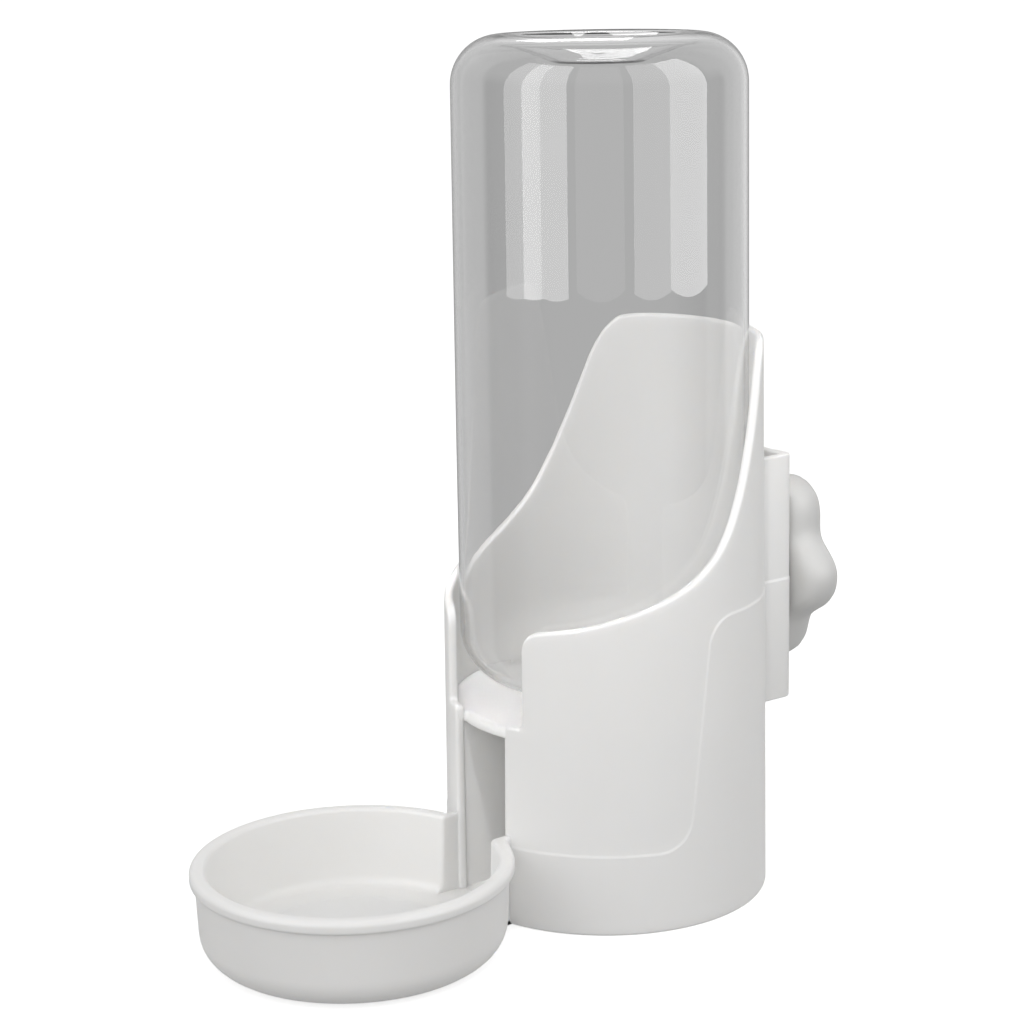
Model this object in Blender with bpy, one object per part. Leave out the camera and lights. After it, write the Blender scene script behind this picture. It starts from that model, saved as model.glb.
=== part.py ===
"""Hanging water bottle for rabbits: an upside-down bottle that feeds a small bowl.

One white moulding holds everything: a cylindrical sleeve with a tall back, a shelf that the
bottle's collar rests on, a well under the shelf, a channel from the well to the round bowl in
front, and a box at the back with a threaded stud. A lobed knob on the stud clamps the moulding
to a cage wall. The bottle's cap holds a spring valve, which a post in the well pushes open.

Frame: the origin is on the sleeve's axis at the surface that the base stands on, +Z is up, the
bowl is towards -Y and the clamp towards +Y. Sizes are in millimetres until the mesh is made.
"""

import math

import bmesh
import bpy
from mathutils import Matrix, Vector

MM = 0.001
GAP = 0.3  # left between pieces that touch

# Bottle
BOTTLE_R = 34.0
BOTTLE_TOP = 200.4
BOTTLE_WALL = 1.2
BOTTLE_EDGE = 11.0  # rounding of the bottle's closed end
SHOULDER_EDGE = 12.0
SHOULDER_Z = 64.0  # where the straight side ends
COLLAR_R = 18.8
NECK_R = 13.4
NECK_BORE_R = 11.4
MOUTH_Z = 26.0

# Sleeve, shelf and well
SLEEVE_R = 38.2
SLEEVE_DRAFT = 0.005  # radius lost per millimetre of height
SLEEVE_WALL = 2.3
SHELF_Z = 45.8
SHELF_T = 2.0
SHELF_HOLE_R = 17.2
LEDGE_Z = 47.2
SLOT_HALF = 14.1  # half the width of the wide slot above the shelf
LIP_R = 4.5
WELL_R = 19.5
WELL_WALL = 2.0
FLOOR_Z = 2.6
CHANNEL_HALF = 9.4

# Bowl
BOWL_Y = -72.1
RIM_R = 36.15
RIM_Z = 21.2
RIM_T = 3.0  # height of the rolled rim
CHEEK = 2.6  # thickness of the cheeks that join the bowl to the sleeve

# Back box and clamp
BOX_HALF = 22.0
BOX_Y = 40.4
BOX_Z = (42.0, 101.5)
BOX_WALL = 2.0
STUD_Z = 71.5
STUD_R = 7.4
STUD_TIP_Y = 61.0
STUD_PITCH = 4.0
KNOB_R = 25.4
KNOB_LOBE = 4.2
KNOB_T = 12.5
KNOB_LOBES = 6
WASHER_T = 1.3

# Cap and valve
CAP_R = 16.3
CAP_TOP_Z = 43.6
SEAT_Z = 24.0  # inside face of the cap's end wall
VALVE_LIFT = 3.0  # how far the post holds the valve off its seat
SEAT_R = 5.0
STEM_R = 1.8
POST_Z = 15.3
CAGE_R = 10.5
CAGE_TOP_Z = 39.2
CAGE_LEGS = 4
SEAL_Z = SEAT_Z + VALVE_LIFT
SEAL_T = 1.2
DISC_Z = SEAL_Z + SEAL_T + GAP
DISC_T = 1.6

WHITE = (0.86, 0.86, 0.85, 1.0)


def clear_scene():
    for obj in list(bpy.data.objects):
        bpy.data.objects.remove(obj, do_unlink=True)


def make_material(name, colour, roughness, metallic=0.0, transmission=0.0):
    mat = bpy.data.materials.new(name)
    mat.use_nodes = True
    shader = mat.node_tree.nodes["Principled BSDF"]
    shader.inputs["Base Color"].default_value = colour
    shader.inputs["Roughness"].default_value = roughness
    shader.inputs["Metallic"].default_value = metallic
    shader.inputs["Transmission Weight"].default_value = transmission
    return mat


def add_object(name, bm, mat=None, smooth_angle=40.0):
    """Turn a bmesh in millimetres into an object in metres, smooth except at its sharp edges."""
    bmesh.ops.remove_doubles(bm, verts=bm.verts, dist=0.0005)
    bmesh.ops.recalc_face_normals(bm, faces=bm.faces)
    bmesh.ops.scale(bm, vec=Vector((MM, MM, MM)), verts=bm.verts)
    mesh = bpy.data.meshes.new(name)
    bm.to_mesh(mesh)
    bm.free()
    mesh.shade_smooth()
    mesh.set_sharp_from_angle(angle=math.radians(smooth_angle))
    if mat:
        mesh.materials.append(mat)
    obj = bpy.data.objects.new(name, mesh)
    bpy.context.scene.collection.objects.link(obj)
    return obj


def combine(obj, other, operation):
    """Apply one exact Boolean with another object, and remove that object."""
    modifier = obj.modifiers.new(operation, "BOOLEAN")
    modifier.operation = operation
    modifier.solver = "EXACT"
    modifier.object = other
    bpy.context.view_layer.update()
    evaluated = obj.evaluated_get(bpy.context.evaluated_depsgraph_get())
    mesh = bpy.data.meshes.new_from_object(evaluated)
    obj.modifiers.clear()
    obj.data = mesh
    bpy.data.objects.remove(other, do_unlink=True)


def set_origin(obj, point):
    """Move an object's origin onto its joint's axis without moving its shape."""
    place = Vector(point) * MM
    obj.data.transform(Matrix.Translation(-place))
    obj.location = place


def arc(centre, radius, start, end, steps):
    """Points on an arc, with angles in degrees from +X towards +Y of the outline's plane."""
    points = []
    for i in range(steps + 1):
        a = math.radians(start + (end - start) * i / steps)
        points.append((centre[0] + radius * math.cos(a), centre[1] + radius * math.sin(a)))
    return points


def spline(points, x):
    """Height at x of a smooth curve through the points (a Catmull-Rom curve)."""
    x = min(max(x, points[0][0]), points[-1][0])
    i = max(k for k in range(len(points) - 1) if points[k][0] <= x)
    (x1, z1), (x2, z2) = points[i], points[i + 1]
    x0, z0 = points[max(i - 1, 0)]
    x3, z3 = points[min(i + 2, len(points) - 1)]
    m1 = (z2 - z0) / (x2 - x0)
    m2 = (z3 - z1) / (x3 - x1)
    w = x2 - x1
    t = (x - x1) / w
    return (
        (2 * t**3 - 3 * t**2 + 1) * z1
        + (t**3 - 2 * t**2 + t) * w * m1
        + (3 * t**2 - 2 * t**3) * z2
        + (t**3 - t**2) * w * m2
    )


def lathe(outline, segments, closed=True, centre=(0.0, 0.0)):
    """Turn an outline of (radius, z) points round a vertical axis. An open one ends on the axis."""
    bm = bmesh.new()
    rings = []
    for radius, z in outline:
        if radius < 1e-6:
            rings.append([bm.verts.new((centre[0], centre[1], z))])
            continue
        ring = []
        for k in range(segments):
            a = 2 * math.pi * k / segments
            ring.append(
                bm.verts.new((centre[0] + radius * math.sin(a), centre[1] - radius * math.cos(a), z))
            )
        rings.append(ring)
    pairs = list(zip(rings, rings[1:]))
    if closed:
        pairs.append((rings[-1], rings[0]))
    for one, two in pairs:
        for k in range(segments):
            n = (k + 1) % segments
            corners = [one[k % len(one)], one[n % len(one)], two[n % len(two)], two[k % len(two)]]
            bm.faces.new(list(dict.fromkeys(corners)))
    return bm


def extrude_plan(outline, z0, z1):
    """A prism: an outline of (x, y) points between two heights."""
    bm = bmesh.new()
    low = [bm.verts.new((x, y, z0)) for x, y in outline]
    high = [bm.verts.new((x, y, z1)) for x, y in outline]
    bm.faces.new(low)
    bm.faces.new(high)
    for k in range(len(outline)):
        n = (k + 1) % len(outline)
        bm.faces.new((low[k], low[n], high[n], high[k]))
    return bm


def rectangle(half, y0, y1):
    return [(-half, y0), (half, y0), (half, y1), (-half, y1)]


def threaded_rod(core, depth, pitch, length, segments):
    """A rod with a rounded right-hand thread, standing on z = 0, that fades out at both ends."""
    rows = round(length / pitch * 7)
    bm = bmesh.new()
    rings = []
    for j in range(rows + 1):
        z = length * j / rows
        fade = min(1.0, (length - z) / pitch, z / pitch)
        ring = []
        for k in range(segments):
            turn = k / segments
            wave = 0.5 - 0.5 * math.cos(2 * math.pi * (z / pitch - turn))
            radius = core + depth * max(fade, 0.0) * wave
            a = 2 * math.pi * turn
            ring.append(bm.verts.new((radius * math.cos(a), radius * math.sin(a), z)))
        rings.append(ring)
    for one, two in zip(rings, rings[1:]):
        for k in range(segments):
            n = (k + 1) % segments
            bm.faces.new((one[k], one[n], two[n], two[k]))
    bm.faces.new(rings[0])
    bm.faces.new(rings[-1])
    return bm


def stand_along_y(bm, y, z):
    """Turn a shape that stands on z = 0 so that it lies along +Y, starting at y, at height z."""
    bm.transform(Matrix.Translation((0, y, z)) @ Matrix.Rotation(math.radians(-90), 4, "X"))
    return bm


# The sleeve's top edge, seen from the side: (y, z) from the front lip up to the tall back.
TOP_EDGE = [
    (-38.2, 69.0),
    (-26.0, 72.1),
    (-13.6, 76.3),
    (-3.0, 81.2),
    (5.3, 88.0),
    (11.7, 98.0),
    (17.3, 110.5),
    (21.8, 122.5),
    (25.5, 128.8),
    (30.0, 131.2),
    (38.2, 131.6),
]


def sleeve_top(angle):
    """Height of the sleeve's wall at an angle in degrees from the front."""
    edge = math.degrees(math.asin(SLOT_HALF / SLEEVE_R))
    if abs(angle) < edge:
        return LEDGE_Z
    height = spline(TOP_EDGE, -SLEEVE_R * math.cos(math.radians(angle)))
    past_edge = math.radians(abs(angle) - edge) * SLEEVE_R
    if past_edge < LIP_R:
        height -= LIP_R - math.sqrt(LIP_R**2 - (LIP_R - past_edge) ** 2)
    return height


def sleeve_angles():
    """Angles of the wall's columns: close together round the slot's rounded corners."""
    edge = math.degrees(math.asin(SLOT_HALF / SLEEVE_R))
    half = [0.0, 7.5, 15.0, edge - 0.03, edge + 0.03]
    for share in (0.05, 0.2, 0.45, 0.75, 1.0):
        half.append(edge + math.degrees(share * LIP_R / SLEEVE_R))
    steps = 32
    start = half[-1]
    half += [start + (180.0 - start) * k / steps for k in range(1, steps + 1)]
    return [-a for a in reversed(half[1:-1])] + half


def make_sleeve():
    """The sleeve's wall, with the swept cut and the wide slot in its top edge."""
    bm = bmesh.new()
    columns = []
    for angle in sleeve_angles():
        a = math.radians(angle)
        corners = []
        for z in (0.0, sleeve_top(angle)):
            for radius in (SLEEVE_R, SLEEVE_R - SLEEVE_WALL):
                r = radius - SLEEVE_DRAFT * z
                corners.append(bm.verts.new((r * math.sin(a), -r * math.cos(a), z)))
        columns.append(corners)
    for one, two in zip(columns, columns[1:] + columns[:1]):
        for i, j in ((0, 2), (2, 3), (3, 1), (1, 0)):
            bm.faces.new((one[i], two[i], two[j], one[j]))
    return add_object("sleeve", bm)


def make_bowl():
    """The bowl's wall with its rolled rim, its floor with a low disc, and a shallow foot."""
    side = 34.4
    foot = 27.4
    outline = [(0.0, 1.0), (22.0, 1.0), (23.0, 0.0)]
    outline += arc((foot, side - foot), side - foot, -90, 0, 6)
    outline += [(side + 0.5, 17.4), (side + 1.2, 18.0)]
    outline += arc((RIM_R - 0.9, RIM_Z - 0.9), 0.9, 0, 90, 3)
    outline += arc((RIM_R - 2.2, RIM_Z - 0.6), 0.6, 90, 180, 2)
    outline += [(side - 2.2, 9.0)]
    outline += arc((side - 7.4, FLOOR_Z + 5.0), 5.0, -10, -90, 5)
    outline += [(24.5, FLOOR_Z), (24.0, FLOOR_Z + 0.4), (0.0, FLOOR_Z + 0.2)]
    return add_object("bowl", lathe(outline, 52, closed=False, centre=(0.0, BOWL_Y)))


def add_well(base):
    """The well under the shelf, and the channel from it to the bowl."""
    wall = WELL_R + WELL_WALL
    top = SHELF_Z - SHELF_T / 2
    inner_wall = SLEEVE_R - SLEEVE_WALL / 2
    well = lathe([(0, 0.0), (wall, 0.0), (wall, top), (0, top)], 48, False)
    combine(base, add_object("well", well), "UNION")
    block = extrude_plan(rectangle(CHANNEL_HALF + WELL_WALL, -inner_wall + 1.8, -10.0), 0.0, top)
    combine(base, add_object("channel", block), "UNION")
    sill = extrude_plan(rectangle(CHANNEL_HALF - 1.4, -inner_wall - 0.2, -10.0), 0.0, FLOOR_Z)
    combine(base, add_object("sill", sill), "UNION")


def add_cheeks(base):
    """A short block between the bowl and the sleeve, which the channel later cuts in two."""
    front = BOWL_Y + RIM_R - 5.2
    back = -SLEEVE_R + 1.8
    block = extrude_plan(rectangle(CHANNEL_HALF + CHEEK, front, back), 0.8, RIM_Z - 0.2)
    combine(base, add_object("cheeks", block), "UNION")
    rim = extrude_plan(rectangle(CHANNEL_HALF + 3.8, front + 1.6, back + 0.4), RIM_Z - RIM_T, RIM_Z)
    combine(base, add_object("cheek_rims", rim), "UNION")


def cut_well(base):
    """Hollow out the well and the channel, and open the channel to the bowl."""
    roof = SHELF_Z - SHELF_T
    floor = FLOOR_Z + 0.02
    hollow = lathe([(0, floor), (WELL_R, floor), (WELL_R, roof), (0, roof)], 48, False)
    combine(base, add_object("well_hollow", hollow), "DIFFERENCE")
    mouth_y = BOWL_Y + 26.0
    passage = extrude_plan(rectangle(CHANNEL_HALF, mouth_y, -10.0), floor, roof)
    combine(base, add_object("channel_hollow", passage), "DIFFERENCE")
    shelf_edge = SLEEVE_R - SLEEVE_WALL - 0.2
    half_angle = math.degrees(math.asin(CHANNEL_HALF / shelf_edge))
    doorway = [(-CHANNEL_HALF, mouth_y), (CHANNEL_HALF, mouth_y)]
    doorway += arc((0.0, 0.0), shelf_edge, -90 + half_angle, -90 - half_angle, 6)
    combine(base, add_object("doorway", extrude_plan(doorway, floor, LEDGE_Z + 5.0)), "DIFFERENCE")
    low, high = roof - 1, SHELF_Z + 1
    hole = lathe([(0, low), (SHELF_HOLE_R, low), (SHELF_HOLE_R, high), (0, high)], 48, False)
    combine(base, add_object("shelf_hole", hole), "DIFFERENCE")


def add_post(base):
    """The cross-shaped post in the well that pushes the valve's stem up."""
    for turn in (0, 90):
        blade = extrude_plan(rectangle(4.0, -0.8, 0.8), FLOOR_Z - 0.8, POST_Z)
        bmesh.ops.rotate(blade, verts=blade.verts, matrix=Matrix.Rotation(math.radians(turn), 3, "Z"))
        combine(base, add_object("post", blade), "UNION")


def add_back_box(base):
    """The box behind the sleeve: two cheeks and a flat back, open above and below."""
    corner = 2.6
    inner = BOX_HALF - BOX_WALL
    root = 30.2
    outer = [(BOX_HALF, root)]
    outer += arc((BOX_HALF - corner, BOX_Y - corner), corner, 0, 90, 4)
    inner_y = BOX_Y - BOX_WALL - 0.7
    half = outer + [(-x, y) for x, y in reversed(outer)]
    half += [(-inner, root), (-inner, inner_y), (inner, inner_y), (inner, root)]
    combine(base, add_object("back_box", extrude_plan(half, *BOX_Z)), "UNION")


def add_stud(base):
    root_y = SLEEVE_R - 1.4
    rod = threaded_rod(STUD_R - 1.1, 1.1, STUD_PITCH, STUD_TIP_Y - root_y, 20)
    combine(base, add_object("stud", stand_along_y(rod, root_y, STUD_Z)), "UNION")


def make_base(mat):
    """The white moulding: sleeve, shelf, well, channel, bowl, back box and stud in one piece."""
    base = make_sleeve()
    base.name = "base"
    shelf_r = SLEEVE_R - SLEEVE_WALL / 2 - 0.4
    low = SHELF_Z - SHELF_T
    shelf = lathe([(0, low), (shelf_r, low), (shelf_r, SHELF_Z), (0, SHELF_Z)], 60, False)
    combine(base, add_object("shelf", shelf), "UNION")
    add_well(base)
    combine(base, make_bowl(), "UNION")
    add_cheeks(base)
    cut_well(base)
    add_post(base)
    add_back_box(base)
    add_stud(base)
    base.data.materials.clear()
    base.data.materials.append(mat)
    return base


def make_bottle(mat):
    """A clear bottle, mouth down: domed closed end, straight side, shoulder, collar and neck."""
    edge = BOTTLE_EDGE
    r = BOTTLE_R
    top = BOTTLE_TOP
    outside = [(0.0, top - 5.0), (8.0, top - 4.4), (15.0, top - 2.6), (20.0, top - 0.6)]
    outside += arc((r - edge, top - edge), edge, 85, 0, 6)
    outside += arc((r - SHOULDER_EDGE, SHOULDER_Z), SHOULDER_EDGE, 0, -80, 6)
    outside += [(COLLAR_R + 0.6, 50.6), (COLLAR_R - 1.2, 49.4), (COLLAR_R - 1.2, 48.6), (COLLAR_R, 48.0)]
    seat = SHELF_Z + GAP
    outside += [(COLLAR_R, seat), (NECK_R, seat), (NECK_R, MOUTH_Z)]
    w = BOTTLE_WALL
    inside = [(NECK_BORE_R, MOUTH_Z), (NECK_BORE_R, 47.0), (COLLAR_R - 2.6, 50.0)]
    inside += arc((r - SHOULDER_EDGE, SHOULDER_Z), SHOULDER_EDGE - w, -80, 0, 5)
    inside += arc((r - edge, top - edge), edge - w, 0, 80, 5)
    inside += [(20.0, top - 0.6 - w), (15.0, top - 2.6 - w), (8.0, top - 4.4 - w), (0.0, top - 5.0 - w)]
    return add_object("bottle", lathe(outside + inside, 44, closed=False), mat)


def make_cap(mat):
    """The cap's skirt, its end wall with the valve's seat, and a short outlet spout."""
    inner = NECK_R + 0.7
    outline = [
        (inner, CAP_TOP_Z),
        (CAP_R - 0.8, CAP_TOP_Z),
        (CAP_R, CAP_TOP_Z - 0.8),
        (CAP_R, SEAT_Z - 1.2),
        (CAP_R - 0.8, SEAT_Z - 2.0),
        (8.2, SEAT_Z - 2.0),
        (7.8, 17.6),
        (6.4, 17.6),
        (6.6, SEAT_Z - 2.0),
        (SEAT_R, SEAT_Z - 1.2),
        (SEAT_R, SEAT_Z),
        (inner, SEAT_Z),
    ]
    return add_object("cap", lathe(outline, 40), mat)


def ring(name, mat, inner, outer, z0, z1, segments=36):
    return add_object(name, lathe([(inner, z0), (outer, z0), (outer, z1), (inner, z1)], segments), mat)


def make_valve_cage(mat):
    """The basket inside the cap that guides the stem and holds the spring's far end."""
    top = CAGE_TOP_Z - 1.4
    foot = SEAT_Z + GAP
    cage = ring("valve_cage", None, 8.0, CAGE_R, foot, foot + 1.5, 32)
    combine(cage, ring("cage_top", None, STEM_R + 0.4, 9.2, top, CAGE_TOP_Z, 32), "UNION")
    for k in range(CAGE_LEGS):
        leg = bmesh.new()
        bmesh.ops.create_cube(leg, size=1.0)
        height = CAGE_TOP_Z - foot - 1.0
        bmesh.ops.scale(leg, vec=Vector((1.1, 3.0, height)), verts=leg.verts)
        bmesh.ops.translate(leg, vec=Vector((8.55, 0, foot + 0.5 + height / 2)), verts=leg.verts)
        turn = Matrix.Rotation(math.radians(45 + 360 * k / CAGE_LEGS), 3, "Z")
        bmesh.ops.rotate(leg, verts=leg.verts, matrix=turn)
        combine(cage, add_object("cage_leg", leg), "UNION")
    cage.data.materials.clear()
    cage.data.materials.append(mat)
    return cage


def make_valve_stem(mat):
    """The poppet: a disc over the seat, with a pin that the post pushes and a guide above."""
    groove = 3.0
    tip = POST_Z + GAP
    outline = [(0, tip), (1.4, tip), (STEM_R, tip + 0.6), (STEM_R, SEAL_Z - 1.3)]
    outline += [(groove + 0.8, SEAL_Z - 1.0), (groove + 0.8, SEAL_Z - GAP), (groove, SEAL_Z - GAP)]
    outline += [(groove, DISC_Z), (7.0, DISC_Z), (7.0, DISC_Z + DISC_T - 0.4), (6.6, DISC_Z + DISC_T)]
    outline += [(STEM_R, DISC_Z + DISC_T), (STEM_R, CAGE_TOP_Z + 1.6), (1.4, CAGE_TOP_Z + 2.2)]
    outline += [(0, CAGE_TOP_Z + 2.2)]
    return add_object("valve_stem", lathe(outline, 28, closed=False), mat)


def make_spring(mat):
    """A coil spring between the valve's disc and the top of the cage."""
    wire = 0.28
    low = DISC_Z + DISC_T + GAP + wire
    high = CAGE_TOP_Z - 1.4 - GAP - wire
    turns = 5
    steps = 14 * turns
    curve = bpy.data.curves.new("valve_spring", "CURVE")
    curve.dimensions = "3D"
    curve.bevel_depth = wire * MM
    curve.bevel_resolution = 1
    curve.use_fill_caps = True
    path = curve.splines.new("POLY")
    path.points.add(steps)
    for k in range(steps + 1):
        a = 2 * math.pi * turns * k / steps
        x, y, z = 3.6 * math.cos(a), 3.6 * math.sin(a), low + (high - low) * k / steps
        path.points[k].co = (x * MM, y * MM, z * MM, 1.0)
    curve.materials.append(mat)
    obj = bpy.data.objects.new("valve_spring", curve)
    bpy.context.scene.collection.objects.link(obj)
    return obj


def make_knob(mat):
    """The six-lobed knob: a soft-edged thick disc with a hub and a hole for the stud."""
    bore = STUD_R + 0.35
    t = KNOB_T
    # (share of the way from the hole to the lobed edge, height over the clamped face)
    section = [(0.0, 0.0), (0.55, 0.0), (0.86, 0.3), (0.965, 2.2), (1.0, 5.4), (0.985, 8.4)]
    section += [(0.91, t - 1.5), (0.76, t - 0.4), (0.5, t), (0.24, t + 0.2)]
    section += [(0.2, t + 1.6), (0.0, t + 1.6)]
    segments = 60
    bm = bmesh.new()
    rings = []
    for share, y in section:
        loop = []
        for k in range(segments):
            a = 2 * math.pi * k / segments
            lobes = 0.5 + 0.5 * math.cos(KNOB_LOBES * (a + math.radians(8)))
            edge = KNOB_R - KNOB_LOBE * (1 - lobes) * min(1.0, share * 1.6) ** 2
            radius = bore + (edge - bore) * share
            loop.append(bm.verts.new((radius * math.cos(a), -radius * math.sin(a), y)))
        rings.append(loop)
    for one, two in zip(rings, rings[1:] + rings[:1]):
        for k in range(segments):
            n = (k + 1) % segments
            bm.faces.new((one[k], one[n], two[n], two[k]))
    knob = add_object("knob", stand_along_y(bm, BOX_Y + WASHER_T + 2 * GAP, STUD_Z), mat)
    set_origin(knob, (0.0, BOX_Y, STUD_Z))
    return knob


def make_clamp_washer(mat):
    """A soft flat ring on the stud, between the knob and the cage wire."""
    bm = lathe([(8.2, 0.0), (16.0, 0.0), (16.0, WASHER_T), (8.2, WASHER_T)], 40)
    washer = add_object("clamp_washer", stand_along_y(bm, BOX_Y + GAP, STUD_Z), mat)
    set_origin(washer, (0.0, BOX_Y, STUD_Z))
    return washer


def main():
    clear_scene()
    make_base(make_material("white_moulding", WHITE, 0.35))
    make_bottle(make_material("clear_bottle", (0.93, 0.95, 0.96, 1.0), 0.05, transmission=1.0))
    make_cap(make_material("cap_plastic", WHITE, 0.4))
    ring("cap_gasket", make_material("gasket_rubber", (0.75, 0.75, 0.73, 1.0), 0.6),
         11.0, NECK_R + 0.3, SEAT_Z + GAP, MOUTH_Z - GAP)
    make_valve_cage(make_material("valve_plastic", WHITE, 0.45))
    make_valve_stem(make_material("stem_plastic", WHITE, 0.4))
    ring("valve_seal", make_material("seal_rubber", (0.12, 0.12, 0.12, 1.0), 0.7),
         3.0 + GAP, 6.8, SEAL_Z, SEAL_Z + SEAL_T, 32)
    make_spring(make_material("spring_steel", (0.7, 0.7, 0.7, 1.0), 0.25, metallic=1.0))
    make_clamp_washer(make_material("washer_rubber", (0.8, 0.8, 0.79, 1.0), 0.6))
    make_knob(make_material("knob_plastic", (0.84, 0.84, 0.82, 1.0), 0.4))


main()
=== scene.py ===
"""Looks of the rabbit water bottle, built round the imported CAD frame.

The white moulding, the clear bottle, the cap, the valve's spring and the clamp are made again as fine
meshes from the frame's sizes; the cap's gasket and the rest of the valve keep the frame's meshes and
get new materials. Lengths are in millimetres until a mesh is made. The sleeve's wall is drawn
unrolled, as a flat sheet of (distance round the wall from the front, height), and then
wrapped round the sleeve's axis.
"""
import math

import bmesh
import bpy
from mathutils import Matrix, Vector
from mathutils.geometry import delaunay_2d_cdt


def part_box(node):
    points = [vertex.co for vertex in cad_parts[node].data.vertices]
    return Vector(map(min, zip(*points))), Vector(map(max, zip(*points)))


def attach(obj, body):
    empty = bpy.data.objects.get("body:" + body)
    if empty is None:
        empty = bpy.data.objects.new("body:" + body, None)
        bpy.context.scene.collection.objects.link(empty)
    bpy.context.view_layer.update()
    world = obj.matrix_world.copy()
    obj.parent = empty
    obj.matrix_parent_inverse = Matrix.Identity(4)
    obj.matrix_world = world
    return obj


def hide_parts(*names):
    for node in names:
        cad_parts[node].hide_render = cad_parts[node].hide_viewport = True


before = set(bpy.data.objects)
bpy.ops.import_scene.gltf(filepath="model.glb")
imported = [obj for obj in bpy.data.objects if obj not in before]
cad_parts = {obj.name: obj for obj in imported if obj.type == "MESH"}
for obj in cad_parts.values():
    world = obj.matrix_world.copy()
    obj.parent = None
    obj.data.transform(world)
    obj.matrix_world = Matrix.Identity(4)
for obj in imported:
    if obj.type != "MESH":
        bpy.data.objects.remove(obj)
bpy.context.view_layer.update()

MM = 0.001

BASE_LOW, BASE_HIGH = (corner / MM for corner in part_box("base"))
BOTTLE_LOW, BOTTLE_HIGH = (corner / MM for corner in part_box("bottle"))
CAP_LOW, CAP_HIGH = (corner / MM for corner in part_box("cap"))
KNOB_LOW, KNOB_HIGH = (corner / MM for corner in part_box("knob"))
WASHER_LOW, WASHER_HIGH = (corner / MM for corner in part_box("clamp_washer"))

# Sleeve
SLEEVE_R = BASE_HIGH.x
DRAFT = 0.005  # radius lost per millimetre of height
WALL = 2.3
WALL_EDGE = 0.8  # rounding of the wall's top edge
FOOT_EDGE = 0.7
SEAM_STEP = 0.15  # the front panel sits this much deeper than the rest
SEAM_LOW_Z = 18.8  # height of the mould's parting line at the front
SHELF_Z = 45.8
SHELF_T = 2.6
SHELF_HOLE_R = 17.2
LEDGE_Z = 47.2
SLOT_HALF = 14.1
DOOR_HALF = 9.4
DOOR_TAPER = 0.6  # how much narrower each side of the doorway is at the floor
WELL_R = 19.5
WELL_WALL = 2.0
POST_TOP_Z = 15.3  # top of the cross-shaped post that pushes the valve open
FLOOR_Z = 2.6
BACK_TOP_Z = BASE_HIGH.z

# Bowl
RIM_R = 36.15
BOWL_Y = BASE_LOW.y + RIM_R
RIM_Z = 21.2
RIM_T = 3.0
RIM_WIDTH = 3.6
CHEEK = 1.6  # thickness of the channel's side walls at the rim

# Back box, stud and knob
BOX_HALF = 22.0
BOX_Y = 40.4
BOX_Z = (42.0, 101.5)
BOX_WALL = 2.0
STUD_Z = 71.5
STUD_R = 7.4
STUD_TIP_Y = BASE_HIGH.y
STUD_PITCH = 4.0
KNOB_R = 25.4
KNOB_LOBE = 4.2
KNOB_LOBES = 6

# Bottle
BOTTLE_R = BOTTLE_HIGH.x
BOTTLE_TOP = BOTTLE_HIGH.z
MOUTH_Z = BOTTLE_LOW.z
BOTTLE_WALL = 1.2
BOTTLE_TAPER = 0.28  # how much narrower the bottle is at its top
TAPER_Z = 110.0  # height at which it starts to narrow
COLLAR_R = 18.8
SEAT_Z = SHELF_Z + 0.3
NECK_R = 13.4
NECK_BORE_R = 11.4
NECK_PITCH = 3.2
RIDGE_ANGLE = 48.75  # where the bottle's mould halves meet, in degrees from the front

# Direction from which the object is seen, in degrees from the front towards +X
CAMERA_ANGLE = 51.484


# ---------------------------------------------------------------- outlines

def rounded(corners, step=14.0):
    """An open outline through corners (x, y, radius), with each corner turned into an arc."""
    points = [Vector(corners[0][:2])]
    for before, corner, after in zip(corners, corners[1:], corners[2:]):
        here = Vector(corner[:2])
        radius = corner[2]
        to_before = (Vector(before[:2]) - here).normalized()
        to_after = (Vector(after[:2]) - here).normalized()
        opening = to_before.angle(to_after)
        turn = math.pi - opening
        if radius < 1e-6 or turn < 1e-3:
            points.append(here)
            continue
        reach = radius * math.tan(turn / 2)
        bisector = (to_before + to_after).normalized()
        centre = here + bisector * (radius / math.cos(turn / 2))
        first = here + to_before * reach - centre
        side = 1.0 if first.x * (here - centre).y - first.y * (here - centre).x > 0 else -1.0
        count = max(2, round(math.degrees(turn) / step))
        for k in range(count + 1):
            a = side * turn * k / count
            spoke = Vector((first.x * math.cos(a) - first.y * math.sin(a),
                            first.x * math.sin(a) + first.y * math.cos(a)))
            points.append(centre + spoke)
    points.append(Vector(corners[-1][:2]))
    return points


def resample(points, spacing):
    """The same outline with its long straight stretches cut into steps."""
    result = [points[0]]
    for one, two in zip(points, points[1:]):
        count = max(1, math.ceil((two - one).length / spacing))
        result += [one.lerp(two, k / count) for k in range(1, count + 1)]
    return result


def offset(points, distance):
    """An open outline moved to its right by a distance, with mitred corners."""
    result = []
    for i, point in enumerate(points):
        before = points[max(i - 1, 0)]
        after = points[min(i + 1, len(points) - 1)]
        normals = []
        for a, b in ((before, point), (point, after)):
            if (b - a).length > 1e-9:
                d = (b - a).normalized()
                normals.append(Vector((d.y, -d.x)))
        n = sum(normals, Vector((0.0, 0.0))).normalized()
        result.append(point + n * (distance / max(n.dot(normals[0]), 0.3)))
    return result


def height_at(points, x):
    """Height at x of an outline that runs from left to right."""
    low, high = 0, len(points) - 1
    while high - low > 1:
        middle = (low + high) // 2
        if points[middle].x <= x:
            low = middle
        else:
            high = middle
    one, two = points[low], points[high]
    share = (x - one.x) / max(two.x - one.x, 1e-9)
    return one.y + (two.y - one.y) * min(max(share, 0.0), 1.0)


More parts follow.
